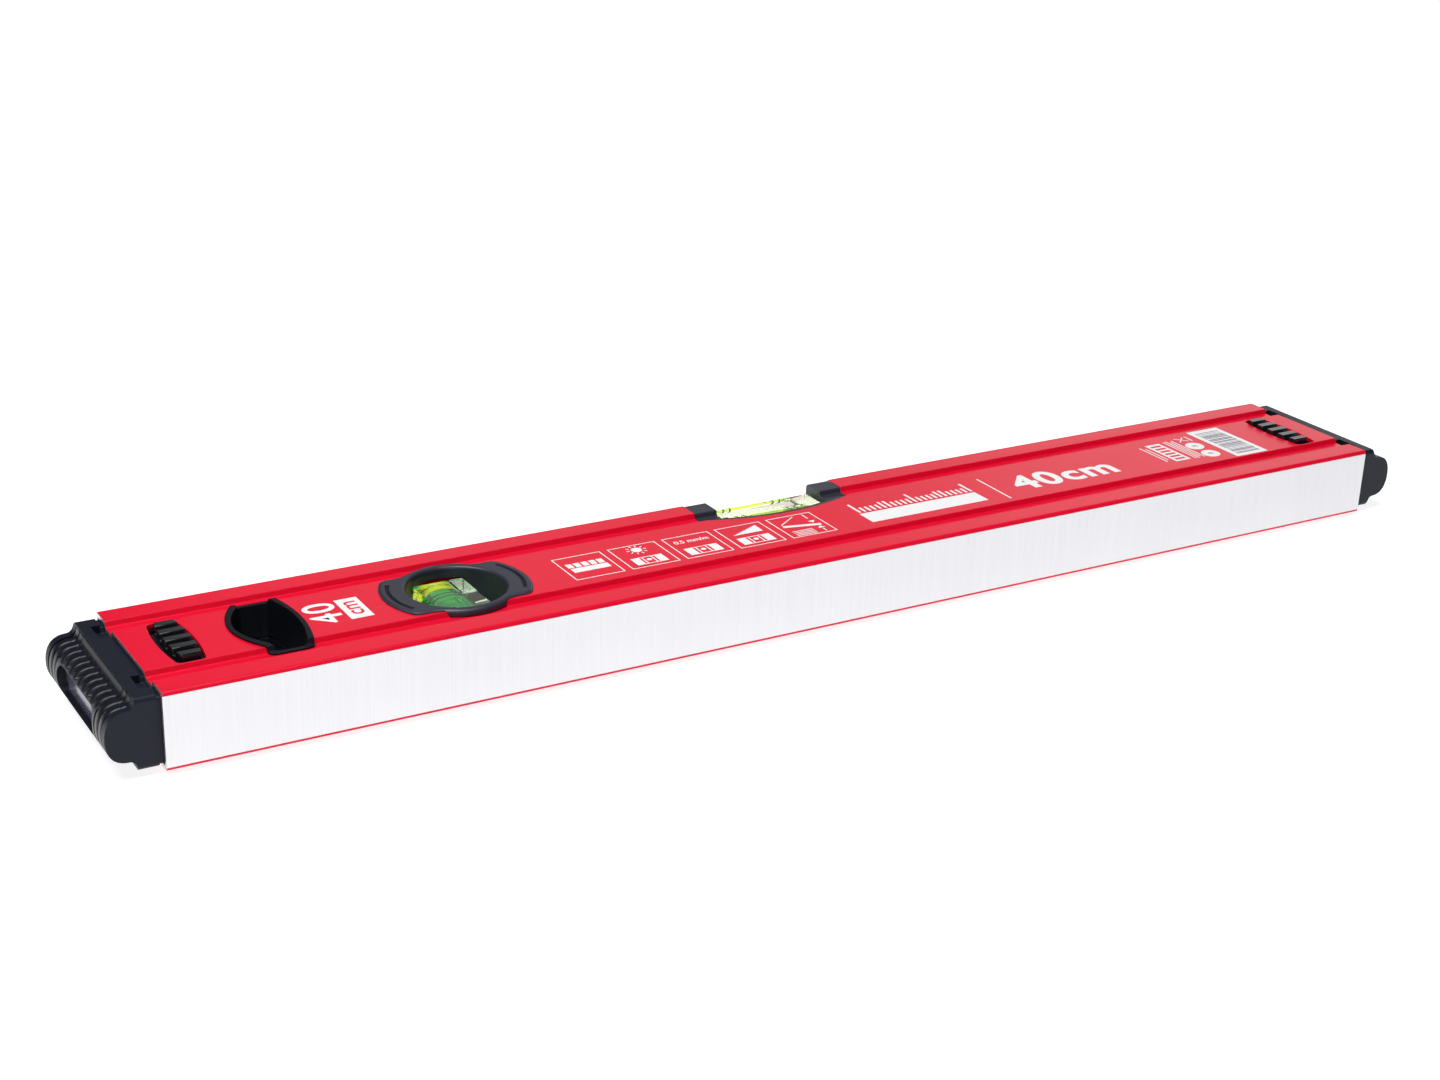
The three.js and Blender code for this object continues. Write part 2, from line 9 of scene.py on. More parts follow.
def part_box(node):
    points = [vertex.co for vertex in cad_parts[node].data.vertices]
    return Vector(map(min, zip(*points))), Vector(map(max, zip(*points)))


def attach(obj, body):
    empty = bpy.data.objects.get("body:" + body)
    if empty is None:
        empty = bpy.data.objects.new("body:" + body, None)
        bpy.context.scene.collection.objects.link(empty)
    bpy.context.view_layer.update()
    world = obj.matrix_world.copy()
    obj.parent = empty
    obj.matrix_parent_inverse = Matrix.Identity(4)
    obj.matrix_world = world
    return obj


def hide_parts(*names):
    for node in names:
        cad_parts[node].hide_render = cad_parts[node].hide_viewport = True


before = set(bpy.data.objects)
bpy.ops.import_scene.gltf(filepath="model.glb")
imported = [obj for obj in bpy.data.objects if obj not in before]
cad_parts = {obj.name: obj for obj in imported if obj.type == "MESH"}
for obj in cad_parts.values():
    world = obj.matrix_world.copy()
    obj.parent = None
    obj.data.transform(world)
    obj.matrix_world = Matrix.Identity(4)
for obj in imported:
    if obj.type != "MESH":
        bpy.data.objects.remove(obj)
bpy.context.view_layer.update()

# ---- places, read from the frame ------------------------------------------------------------------

MM = 0.001
PROFILE_LOW, PROFILE_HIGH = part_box("aluminium_profile")
MIDDLE = (PROFILE_LOW + PROFILE_HIGH) / 2


def middle_of(node):
    low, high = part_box(node)
    return (low + high) / 2


def size_of(node):
    low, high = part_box(node)
    return (high - low) / MM


LENGTH, WIDTH, THICK = (PROFILE_HIGH - PROFILE_LOW) / MM
HALF_LENGTH, HALF_WIDTH, HALF_THICK = LENGTH / 2, WIDTH / 2, THICK / 2

# Pieces are drawn in millimetres about a middle of their own, and put in place by one of these.
PROFILE_PLACE = Matrix.Translation(MIDDLE)


def at(node, turn=0.0, flip=False):
    """The place of a piece drawn about the node's middle in X and Y and the profile's middle in Z."""
    spot = middle_of(node)
    place = Matrix.Translation((spot.x, spot.y, MIDDLE.z)) @ Matrix.Rotation(turn, 4, "Z")
    return place @ Matrix.Rotation(math.pi, 4, "X") if flip else place


# ---- camera ---------------------------------------------------------------------------------------

CAMERA_FROM_PROFILE = Vector((-0.318955, -0.476726, 0.244290))
LOOK = Vector((0.484877, 0.790938, -0.373245))
UP = Vector((0.163972, 0.336989, 0.927121))

camera_data = bpy.data.cameras.new("studio_camera")
camera_data.lens = 56.263
camera_data.sensor_width = 36
camera = bpy.data.objects.new("studio_camera", camera_data)
bpy.context.scene.collection.objects.link(camera)
right = LOOK.cross(UP).normalized()
camera.matrix_world = Matrix.Translation(
    Vector((MIDDLE.x, MIDDLE.y, PROFILE_LOW.z)) + CAMERA_FROM_PROFILE
) @ Matrix((right, right.cross(LOOK), -LOOK)).transposed().to_4x4()
bpy.context.scene.camera = camera


# ---- shader expressions ---------------------------------------------------------------------------


class Wire:
    """A socket of one finish's node tree. Expressions on wires add Math nodes."""

    def __init__(self, finish, socket):
        self.finish = finish
        self.socket = socket

    def _math(self, operation, first, second=None):
        sockets = {0: first} if second is None else {0: first, 1: second}
        return self.finish.node("ShaderNodeMath", {"operation": operation}, sockets)

    def __add__(self, other):
        return self._math("ADD", self, other)

    def __radd__(self, other):
        return self._math("ADD", other, self)

    def __sub__(self, other):
        return self._math("SUBTRACT", self, other)

    def __rsub__(self, other):
        return self._math("SUBTRACT", other, self)

    def __mul__(self, other):
        return self._math("MULTIPLY", self, other)

    def __rmul__(self, other):
        return self._math("MULTIPLY", other, self)

    def __gt__(self, other):
        return self._math("GREATER_THAN", self, other)

    def held(self, low=0.0, high=1.0):
        return self._math("MINIMUM", self._math("MAXIMUM", self, low), high)


class Finish:
    """One material: a Principled shader, and the nodes that feed it."""

    def __init__(self, name, **constants):
        self.material = bpy.data.materials.new(name)
        self.material.use_nodes = True
        self.tree = self.material.node_tree
        self.shader = self.tree.nodes["Principled BSDF"]
        for socket, value in constants.items():
            self.shader.inputs[socket.replace("_", " ")].default_value = value

    def node(self, kind, settings=None, sockets=None, output=0):
        """Any node: its settings first, then its sockets' values or wires."""
        made = self.tree.nodes.new(kind)
        for key, value in (settings or {}).items():
            if key == "stops":
                self._stops(made.color_ramp, value)
            else:
                setattr(made, key, value)
        for key, value in (sockets or {}).items():
            self._feed(made.inputs[key], value)
        return Wire(self, made.outputs[output])

    def _stops(self, ramp, stops):
        while len(ramp.elements) < len(stops):
            ramp.elements.new(1.0)
        for element, (position, colour) in zip(ramp.elements, stops):
            element.position = position
            element.color = colour

    def _feed(self, target, value):
        if isinstance(value, Wire):
            self.tree.links.new(value.socket, target)
        else:
            target.default_value = value

    def feed(self, **sockets):
        for socket, value in sockets.items():
            self._feed(self.shader.inputs[socket.replace("_", " ")], value)
        return self

    def spot(self):
        """The point on the piece, in metres, which stays with the piece when it moves."""
        return self.node("ShaderNodeTexCoord", output="Object")

    def floor_axes(self):
        """X and Y of the point on the piece."""
        x = self.node("ShaderNodeSeparateXYZ", {}, {0: self.spot()})
        return x, Wire(self, x.socket.node.outputs["Y"])

    def stretched(self, scale):
        return self.node("ShaderNodeMapping", {}, {"Vector": self.spot(), "Scale": scale})

    def grain(self, per_metre, detail=2.0, roughness=0.5, stretch=None):
        """Noise from 0 to 1 with so many bumps to the metre."""
        vector = self.spot() if stretch is None else self.stretched(stretch)
        sockets = {"Vector": vector, "Scale": per_metre, "Detail": detail, "Roughness": roughness}
        return self.node("ShaderNodeTexNoise", {}, sockets)

    def specks(self, per_metre, size):
        """1 in sparse round specks, 0 between them."""
        cells = self.node("ShaderNodeTexVoronoi", {}, {"Vector": self.spot(), "Scale": per_metre})
        return 1 - (cells > size)

    def blend(self, factor, first, second):
        sockets = {0: factor, 6: first, 7: second}
        return self.node("ShaderNodeMix", {"data_type": "RGBA"}, sockets, output=2)

    def bumped(self, height, depth, strength=1.0):
        """A normal from a height of 0 to 1 that stands for so many metres."""
        sockets = {"Height": height, "Distance": depth, "Strength": strength}
        return self.feed(Normal=self.node("ShaderNodeBump", {}, sockets))


def colour(red, green, blue):
    return (red, green, blue, 1.0)


# ---- finishes -------------------------------------------------------------------------------------


def powder_red(name, base, dark, level=0.22):
    paint = Finish(name, IOR=1.5, Specular_IOR_Level=level)
    cloud = paint.grain(14, 3)
    peel = paint.grain(1500, 3, 0.55)
    dust = paint.specks(420, 0.03)
    tint = paint.blend(cloud, dark, base)
    paint.feed(Base_Color=paint.blend(dust * 0.35, tint, colour(0.75, 0.3, 0.28)))
    paint.feed(Roughness=0.27 + cloud * 0.06 + peel * 0.05 + dust * 0.2)
    return paint.bumped(peel + paint.grain(5200, 2) * 0.35, 0.000018, 0.5)


def milled_aluminium(name):
    """Bare metal with the fine cross lines that a face mill leaves."""
    metal = Finish(name, IOR=1.45)
    lines = metal.grain(1, 3, 0.6, stretch=(2300, 1, 36))
    passes = metal.grain(1, 2, 0.5, stretch=(420, 1, 10))
    smudge = metal.grain(40, 3)
    ridge = (lines * 0.7 + passes * 0.3).held()
    metal.feed(Metallic=1.0)
    metal.feed(Base_Color=metal.blend(ridge, colour(0.66, 0.66, 0.68), colour(0.80, 0.80, 0.83)))
    metal.feed(Roughness=0.33 + ridge * 0.12 + smudge * 0.08)
    return metal.bumped(ridge, 0.00002, 0.6)


def sawn_aluminium(name):
    metal = Finish(name, IOR=1.45, Metallic=1.0)
    scratch = metal.grain(1, 3, 0.6, stretch=(900, 3800, 260))
    metal.feed(Base_Color=metal.blend(scratch, colour(0.62, 0.62, 0.64), colour(0.9, 0.9, 0.91)))
    metal.feed(Roughness=0.3 + scratch * 0.25)
    return metal.bumped(scratch, 0.00003, 0.5)


def moulded(name, base, worn, roughness, texture_kind, level=0.5):
    """A moulded plastic: fine tool texture, a little unevenness, and a few light scuffs."""
    grain_per_metre, grain_depth = texture_kind
    plastic = Finish(name, IOR=1.5, Specular_IOR_Level=level)
    texture = plastic.grain(grain_per_metre, 3, 0.6)
    flow = plastic.grain(60, 3)
    scuff = (plastic.grain(1, 4, 0.65, stretch=(260, 1500, 700)) - 0.66).held() * 5
    plastic.feed(Base_Color=plastic.blend((flow * 0.5 + scuff * 0.4).held(), base, worn))
    plastic.feed(Roughness=(roughness + flow * 0.1 + texture * 0.06).held(0.02, 1))
    return plastic.bumped(texture, grain_depth, 0.7)


def clear(name, base, index, roughness, painted_glow=None):
    """A see-through filling or block; index is against what surrounds it; a painted glow, if given, makes it
    give off light.
    """
    glass = Finish(name, Transmission_Weight=1.0, IOR=index)
    swirl = glass.grain(220, 2)
    glass.feed(Base_Color=glass.blend(swirl, base, colour(*[c * 0.94 for c in base[:3]])))
    glass.feed(Roughness=roughness + swirl * 0.02)
    if painted_glow is not None:
        glass.feed(Emission_Color=glass.blend(swirl, painted_glow, colour(*[c * 0.8 for c in painted_glow[:3]])))
        glass.shader.inputs["Emission Strength"].default_value = 1.0
    return glass


def ink(name, base, thin):
    """Screen print: a matte film, a touch thinner in places."""
    film = Finish(name, IOR=1.45)
    cover = film.grain(900, 3, 0.6)
    film.feed(Base_Color=film.blend((cover - 0.55).held() * 1.6, base, thin))
    film.feed(Roughness=0.42 + cover * 0.15)
    return film.bumped(cover, 0.000008, 0.4)


# Textures of moulded pieces: bumps to the metre, and their depth in metres.
FINE = (5200, 0.00002)
SOFT = (3600, 0.000012)
GLOSSY = (2500, 0.000008)
POLISHED = (900, 0.000003)
PLAIN = (2500, 0.00001)
THIN = (3000, 0.000006)

RED = powder_red("red_powder_coat", colour(0.74, 0.004, 0.031), colour(0.68, 0.003, 0.026))
# Lighter pink, more specular red: a painted highlight on the groove-edge fillets that tilt away, standing in
# for the back light they catch.
RED_PAINTED_HIGHLIGHT = powder_red("red_painted_edge_highlight", colour(0.86, 0.30, 0.34), colour(0.82, 0.20, 0.24), 0.5)
MILLED = milled_aluminium("milled_aluminium")
SAWN = sawn_aluminium("sawn_aluminium")
CAP = moulded("cap_plastic", colour(0.007, 0.009, 0.018), colour(0.014, 0.017, 0.028), 0.36, FINE, 0.2)
# Near-black liner plastic, darker than the caps to paint the shade inside the hang hole; the bezel slot
# floors also get it as painted shade.
DARK_LINER_AND_SLOT_SHADE = moulded("liner_plastic_and_painted_slot_shade", colour(0.004, 0.005, 0.009), colour(0.008, 0.009, 0.014), 0.4, FINE, 0.2)
SLATE = moulded("slate_plastic", colour(0.022, 0.022, 0.038), colour(0.036, 0.036, 0.056), 0.34, FINE)
RUBBER = moulded("bumper_rubber", colour(0.006, 0.007, 0.013), colour(0.012, 0.014, 0.022), 0.26, SOFT, 0.35)
PAD = moulded("glossy_pad_plastic", colour(0.006, 0.007, 0.009), colour(0.014, 0.015, 0.018), 0.12, GLOSSY)
CORE = moulded("polished_core_plastic", colour(0.09, 0.09, 0.14), colour(0.11, 0.11, 0.16), 0.05, POLISHED)
ACRYLIC = clear("clear_acrylic", colour(0.95, 1.0, 0.84), 1.49, 0.0)
# Both spirits get a painted glow: emission that stands in for a fluorescent look.
LIQUID = clear("vial_spirit", colour(0.66, 0.93, 0.06), 0.91, 0.0, colour(0.10, 0.15, 0.004))
PLUMB_LIQUID = clear("plumb_vial_spirit", colour(0.16, 0.72, 0.26), 0.91, 0.0, colour(0.012, 0.10, 0.03))
AIR = clear("air_bubble", colour(0.97, 1.0, 0.9), 0.78, 0.0)
PLUG = moulded("cream_plug_plastic", colour(0.74, 0.68, 0.40), colour(0.82, 0.78, 0.55), 0.3, PLAIN)
PLUMB_PLUG = moulded("green_plug_plastic", colour(0.42, 0.52, 0.03), colour(0.55, 0.6, 0.08), 0.3, PLAIN)
LINE = moulded("vial_line_black", colour(0.004, 0.004, 0.004), colour(0.01, 0.01, 0.01), 0.4, THIN)
WHITE_INK = ink("white_print", colour(0.86, 0.86, 0.87), colour(0.8, 0.55, 0.55))
RED_INK = ink("knocked_out_red", colour(0.70, 0.02, 0.03), colour(0.66, 0.01, 0.02))
GREY_INK = ink("grey_print", colour(0.16, 0.15, 0.19), colour(0.3, 0.25, 0.28))


# ---- outlines, in millimetres ---------------------------------------------------------------------


def arc(centre, radius, start, end, steps=12):
    turn = (end - start) / steps
    return [
        (centre[0] + radius * math.cos(start + turn * i), centre[1] + radius * math.sin(start + turn * i))
        for i in range(steps + 1)
    ]


def circle(radius, steps=128, centre=(0, 0)):
    return arc(centre, radius, 0, 2 * math.pi * (steps - 1) / steps, steps - 1)


def curve(points, steps=10):
    """A Bezier curve of any degree through its control points, with its last point left out."""
    found = []
    for i in range(steps):
        t = i / steps
        level = [Vector(p) for p in points]
        while len(level) > 1:
            level = [a.lerp(b, t) for a, b in zip(level, level[1:])]
        found.append((level[0].x, level[0].y))
    return found


def filleted(corners, steps=5):
    """A polygon of (a, b, radius) corners with each corner rounded to its radius."""
    points = []
    for i, (a, b, radius) in enumerate(corners):
        here = Vector((a, b))
        back = (Vector(corners[i - 1][:2]) - here).normalized()
        ahead = (Vector(corners[(i + 1) % len(corners)][:2]) - here).normalized()
        half = back.angle(ahead) / 2
        centre = here + (back + ahead).normalized() * (radius / math.sin(half))
        reach = radius / math.tan(half)
        start, end = here + back * reach - centre, here + ahead * reach - centre
        first = math.atan2(start.y, start.x)
        sweep = (math.atan2(end.y, end.x) - first + math.pi) % (2 * math.pi) - math.pi
        points += arc(centre, radius, first, first + sweep, steps)
    return points


PAST = 1  # how far a cutting tool runs past what it cuts
EDGE_ROUND = 1.0
GROOVE = {"inner": 12.6, "outer": 18.3, "slope": 0.5, "depth": 1.4}


def grooved(half_width, half_thick, corner, spread=0.0, fillet=0.3, depth=GROOVE["depth"]):
    """The level's section in Y, Z, as a box with two shallow grooves along each face."""
    inner, outer = GROOVE["inner"] - spread, GROOVE["outer"] + spread
    floor = half_thick - depth
    slope = GROOVE["slope"]
    groove = [
        (outer, half_thick, fillet), (outer - slope, floor, fillet),
        (inner + slope, floor, fillet), (inner, half_thick, fillet),
    ]
    other = [(-y, z, r) for y, z, r in reversed(groove)]
    top = [(half_width, half_thick, corner)] + groove + other + [(-half_width, half_thick, corner)]
    bottom = [(y, -z, r) for y, z, r in reversed(top)]
    return filleted(top + bottom)


def rounded_box(half_a, half_b, corner, steps=8):
    return filleted([
        (half_a, -half_b, corner), (half_a, half_b, corner),
        (-half_a, half_b, corner), (-half_a, -half_b, corner),
    ], steps)


def bulged(left, left_end, right, right_end, half, corner, inset=0.0):
    """A tall outline with bulged sides, flat ends and rounded corners."""
    top, side = half - inset, half - inset - corner
    l, l_end = left + inset, left_end + inset
    r, r_end = right - inset, right_end - inset
    return (
        curve([(r_end, -side), (2 * r - r_end, 0), (r_end, side)], 24)
        + curve([(r_end, side), (r_end, top), (r_end - corner, top)], 8)
        + curve([(r_end - corner, top), (l_end + corner, top)], 1)
        + curve([(l_end + corner, top), (l_end, top), (l_end, side)], 8)
        + curve([(l_end, side), (2 * l - l_end, 0), (l_end, -side)], 24)
        + curve([(l_end, -side), (l_end, -top), (l_end + corner, -top)], 8)
        + curve([(l_end + corner, -top), (r_end - corner, -top)], 1)
        + curve([(r_end - corner, -top), (r_end, -top), (r_end, -side)], 8)
    )


def grown_profile(margin):
    return grooved(HALF_WIDTH + margin, HALF_THICK + margin, EDGE_ROUND + margin, spread=-margin)


WINDOW_OUTLINE = bulged(-4.6, -3.7, 4.6, 3.7, 12.1, 1.8)
WINDOW_FROM_END = 11.55
HANG = {"left": -8.9, "left_end": -4.2, "right": 9.3, "right_end": 7.5, "half": 15.2, "corner": 2.2}
SCOOP_LOW, SCOOP_RADIUS, SCOOP_HALF = 8.2, 66, 24
EYE_HOLE = 14.2


def scooped(half, inset, top):
    """A slot open towards +Y whose bottom is a shallow arc."""
    centre, radius = SCOOP_LOW + SCOOP_RADIUS, SCOOP_RADIUS - inset
    angle = math.asin(half / radius)
    down = -math.pi / 2
    return [(half, top), (-half, top)] + arc((0, centre), radius, down - angle, down + angle, 40)


# ---- meshes ---------------------------------------------------------------------------------------


def mesh_object(name, bm):
    bmesh.ops.remove_doubles(bm, verts=bm.verts, dist=1e-5)
    bmesh.ops.recalc_face_normals(bm, faces=bm.faces)
    mesh = bpy.data.meshes.new(name)
    bm.to_mesh(mesh)
    bm.free()
    made = bpy.data.objects.new(name, mesh)
    bpy.context.scene.collection.objects.link(made)
    return made


# How a point of an outline, at a station along an axis, becomes a point in space.
PUT = {
    "x": lambda a, b, station: (station, a, b),
    "y": lambda a, b, station: (a, station, b),
    "z": lambda a, b, station: (a, b, station),
}


def lofted(name, outlines, axis):
    """A closed solid through (station, outline) pairs along an axis, each outline with as many points."""
    bm = bmesh.new()
    rings = [[bm.verts.new(PUT[axis](a, b, station)) for a, b in points] for station, points in outlines]
    bm.faces.new(rings[0])
    bm.faces.new(rings[-1])
    for low, high in zip(rings, rings[1:]):
        for i in range(len(low)):
            bm.faces.new((low[i - 1], low[i], high[i], high[i - 1]))
    return mesh_object(name, bm)


def prism(name, outline, axis, low, high):
    return lofted(name, [(low, outline), (high, outline)], axis)


def turned(name, profile, axis="z", steps=96):
    """A closed ring or disc from a loop of (radius, station) points turned about an axis."""
    bm = bmesh.new()
    rings = []
    for i in range(steps):
        angle = 2 * math.pi * i / steps
        rings.append([
            bm.verts.new(PUT[axis](r * math.cos(angle), r * math.sin(angle), s)) for r, s in profile
        ])
    for ring, following in zip(rings, rings[1:] + rings[:1]):
        for i in range(len(ring)):
            bm.faces.new((ring[i - 1], ring[i], following[i], following[i - 1]))
    return mesh_object(name, bm)


def block(name, x, y, z):
    return prism(name, [(x[0], y[0]), (x[1], y[0]), (x[1], y[1]), (x[0], y[1])], "z", *z)


def applied(body):
    """The body with its modifiers made part of its mesh."""
    seen = body.evaluated_get(bpy.context.evaluated_depsgraph_get())
    mesh = bpy.data.meshes.new_from_object(seen)
    body.modifiers.clear()
    body.data = mesh
    return body


def worked(body, tools, operation):
    for tool in tools:
        step = body.modifiers.new("work", "BOOLEAN")
        step.operation = operation
        step.solver = "EXACT"
        step.object = tool
    applied(body)
    for tool in tools:
        bpy.data.objects.remove(tool)
    return body


def cut(body, *tools):
    return worked(body, tools, "DIFFERENCE")


def join(body, *tools):
    return worked(body, tools, "UNION")


def kept(body, tool):
    return worked(body, [tool], "INTERSECT")


def placed(body, place, finish, rides, stands_for=()):
    """Puts a piece drawn in millimetres in its place, with its finish and body, and hides the CAD nodes it
    stands for.
    """
    body.data.transform(place @ Matrix.Scale(MM, 4))
    body.data.materials.clear()
    for each in finish if isinstance(finish, (list, tuple)) else [finish]:
        body.data.materials.append(each.material)
    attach(body, rides)
    if stands_for:
        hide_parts(*stands_for)
    return body


def finished_by_face(body, kinds):
    """Gives each face its own one of the body's finishes."""
    for face, kind in zip(body.data.polygons, kinds):
        face.material_index = kind


def softened(body, width, segments=3, angle=35, clamp=False):
    """Small round edges, with shading that stays flat on flat faces."""
    for face in body.data.polygons:
        face.use_smooth = True
    edge = body.modifiers.new("round_edges", "BEVEL")
    edge.width = width * MM
    edge.segments = segments
    edge.limit_method = "ANGLE"
    edge.angle_limit = math.radians(angle)
    edge.miter_outer = "MITER_ARC"
    edge.use_clamp_overlap = clamp
    shade = body.modifiers.new("shade", "WEIGHTED_NORMAL")
    shade.keep_sharp = True
    return body


# ---- profile --------------------------------------------------------------------------------------

WALL = 1.2
HANG_HOLE_INSET = 0.45
SQUARE_ON = 0.99
PAINTED, BARE, CUT_END, PAINTED_HIGHLIGHT_EDGE = range(4)


def hang_place(face):
    """The place of a hang hole liner, drawn about the hole's middle."""
    offset = (HANG["left"] + HANG["right"]) / 2
    spot = at(f"hang_hole_liner_{face}", flip=face == "back")
    return Matrix.Translation((-offset * MM, 0, 0)) @ spot


def profile_kind(face):
    """Which finish a face of the profile has."""
    if face.normal.y < -0.999 and face.center.y < 0.01 - HALF_WIDTH:
        return BARE
    flat_end = abs(face.normal.x) > SQUARE_ON and abs(face.center.x) > HALF_LENGTH - 0.01
    outside = max(abs(face.center.y) - HALF_WIDTH, abs(face.center.z) - HALF_THICK)
    if flat_end or outside < -GROOVE["depth"] - 0.5:
        return CUT_END
    # The fillets at the far web edge and at the near groove's outer edge get a painted highlight.
    near_highlight_edge = min(abs(face.center.y - GROOVE["inner"]), abs(face.center.y + GROOVE["outer"])) < 0.3
    at_surface = abs(face.center.z) > HALF_THICK - 0.25
    if near_highlight_edge and at_surface and abs(face.normal.z) < SQUARE_ON:
        return PAINTED_HIGHLIGHT_EDGE
    return PAINTED


def profile():
    """The extruded box section: outside painted, measuring edge milled, ends sawn, inside bare, two groove
    edges with a painted highlight.
    """
    section = grooved(HALF_WIDTH, HALF_THICK, EDGE_ROUND)
    body = prism("aluminium_box_profile", section, "x", -HALF_LENGTH, HALF_LENGTH)
    inside = grooved(HALF_WIDTH - WALL, HALF_THICK - WALL, 0.5, spread=0.3)
    far = HALF_THICK + PAST
    tools = [prism("bore", inside, "x", -HALF_LENGTH - PAST, HALF_LENGTH + PAST)]
    for side in (-1, 1):
        x = side * (HALF_LENGTH - WINDOW_FROM_END)
        tools.append(prism("window", [(x + a, b) for a, b in WINDOW_OUTLINE], "z", -far, far))
    hang = (hang_place("front").translation.x - MIDDLE.x) / MM
    hang_hole = [(hang + a, b) for a, b in bulged(**HANG, inset=HANG_HOLE_INSET)]
    tools.append(prism("hang_hole", hang_hole, "z", -far, far))
    eye = (middle_of("plumb_bezel_front").x - MIDDLE.x) / MM
    tools.append(prism("eye_hole", circle(EYE_HOLE, centre=(eye, 0)), "z", -far, far))
    tools.append(prism("vial_cutout", scooped(SCOOP_HALF, 0, HALF_WIDTH + PAST), "z", -far, far))
    cut(body, *tools)
    kinds = [profile_kind(face) for face in body.data.polygons]
    finishes = [RED, MILLED, SAWN, RED_PAINTED_HIGHLIGHT]
    placed(body, PROFILE_PLACE, finishes, "root", ["aluminium_profile"])
    finished_by_face(body, kinds)
    return softened(body, 0.12, 2)


# ---- end caps -------------------------------------------------------------------------------------

CAP_HALF_WIDTH, PLUG_HALF_THICK, FLANGE_HALF_THICK = 24.0, 8.5, 9.2
NECK, FLANGE_START, FLANGE_END, RIM_HALF, CAP_REACH = 1.0, 3.2, 5.9, 9.05, 13.25
VALLEY, BULGE_START, BULGE_HALF, SHOULDER = 6.2, 8.0, 6.3, 12.0
PLATE_INNER, CORE_REACH, CORE_HALF = 21.8, 10.9, 4.0
POCKET_FLOOR = 7.0
SLOT_HALF, SLOT_HALF_HEIGHT = 14.5, 3.8
FADE_START, FADE_LENGTH = 6.8, 1.2
SLOT_MARGIN, SLOT_FADE = 0.5, 0.8
TALL = 10  # beyond the cap above and below


def faded(x, z):
    """How deep the channels between the ribs are: 0 in the valley and round the slot, 1 on the bulge."""
    along = (x - FADE_START) / FADE_LENGTH
    beside = (abs(z) - SLOT_HALF_HEIGHT - SLOT_MARGIN) / SLOT_FADE
    return min(1.0, max(0.0, along)) * min(1.0, max(0.0, beside))


def ribbed_end(start, inset, steps=14):
    full, low = cap_end(start, 0.0, steps), cap_end(start, inset, steps)
    return [tuple(Vector(high).lerp(Vector(deep), faded(*high))) for high, deep in zip(full, low)]


def cap_end(start, inset=0.0, steps=14):
    """The cap's end in X, Z: rim, finger valley and rounded bulge, the same above and below."""
    rim, bulge, tip = RIM_HALF - inset, BULGE_HALF - inset, CAP_REACH - inset
    lower = (
        [(start, -rim)]
        + curve([(FLANGE_END, -rim), (VALLEY, -bulge), (BULGE_START, -bulge)], steps)
        + curve([(BULGE_START, -bulge), (SHOULDER - inset, -bulge), (tip, -bulge / 2), (tip, 0)], steps)
    )
    return lower + [(tip, 0)] + [(x, -z) for x, z in reversed(lower)]


def is_core_face(face):
    """The polished end of the core, seen through the bumper's slot."""
    outward = face.normal.x > SQUARE_ON and face.center.x > CORE_REACH - 0.01
    return outward and abs(face.center.y) < PLATE_INNER


def cap_shell(side, place):
    plug = grooved(CAP_HALF_WIDTH - 0.01, PLUG_HALF_THICK, 0.8, spread=0.6)
    body = prism(f"{side}_end_cap", plug, "x", -20, NECK + 0.1)
    section = rounded_box(CAP_HALF_WIDTH, FLANGE_HALF_THICK, 1.5)
    ends = kept(
        prism("ends", cap_end(NECK), "y", -CAP_HALF_WIDTH - PAST, CAP_HALF_WIDTH + PAST),
        prism("section", section, "x", NECK - PAST, CAP_REACH + PAST),
    )
    far = CAP_REACH + PAST
    across = (-PLATE_INNER, PLATE_INNER)
    cut(ends, block("bumper_room", (FLANGE_END, far), across, (CORE_HALF, TALL)))
    cut(ends, block("bumper_room", (FLANGE_END, far), across, (-TALL, -CORE_HALF)))
    cut(ends, block("bumper_room", (CORE_REACH, far), across, (-CORE_HALF - PAST, CORE_HALF + PAST)))
    pockets = [
        block("pocket", (NECK - PAST, FLANGE_START), y, z)
        for y in ((12.0, 18.9), (-18.9, -12.0)) for z in ((POCKET_FLOOR, TALL), (-TALL, -POCKET_FLOOR))
    ]
    cut(ends, *pockets)
    join(body, ends)
    recess = 12.6
    cut(
        body,
        block("recess", (-21, -1.2), (-recess, recess), (2, 10)),
        block("recess", (-21, -1.2), (-recess, recess), (-10, -2)),
        block("hollow", (-21, -3), (14.2, 22.4), (-5.5, 5.5)),
        block("hollow", (-21, -3), (-22.4, -14.2), (-5.5, 5.5)),
    )
    kinds = [int(is_core_face(face)) for face in body.data.polygons]
    placed(body, place, [CAP, CORE], f"{side}_cap", [f"{side}_cap_shell"])
    finished_by_face(body, kinds)
    return softened(body, 0.25, 3, clamp=True)


RIB_COUNT, RIB_PITCH, RIB_DEPTH = 9, 3.4, 0.95
RIB_HALF = 1.15
RING_MIDDLES, RING_HALF = (17.1, 20.1), 1.45
BUMPER_STEPS, BUMPER_GAP = 300, 0.2


def rib_height(y):
    """How far the bumper stands up at a station, from 0 between the ribs to 1 on a rib or ring."""
    for ring in RING_MIDDLES:
        if abs(abs(y) - ring) < RING_HALF:
            return math.sqrt(max(0.0, 1 - ((abs(y) - ring) / RING_HALF) ** 4))
    nearest = round(y / RIB_PITCH)
    if abs(nearest) > (RIB_COUNT - 1) / 2:
        return 0.0
    away = abs(y - nearest * RIB_PITCH) / RIB_HALF
    return math.sqrt(max(0.0, 1 - away**4)) if away < 1 else 0.0


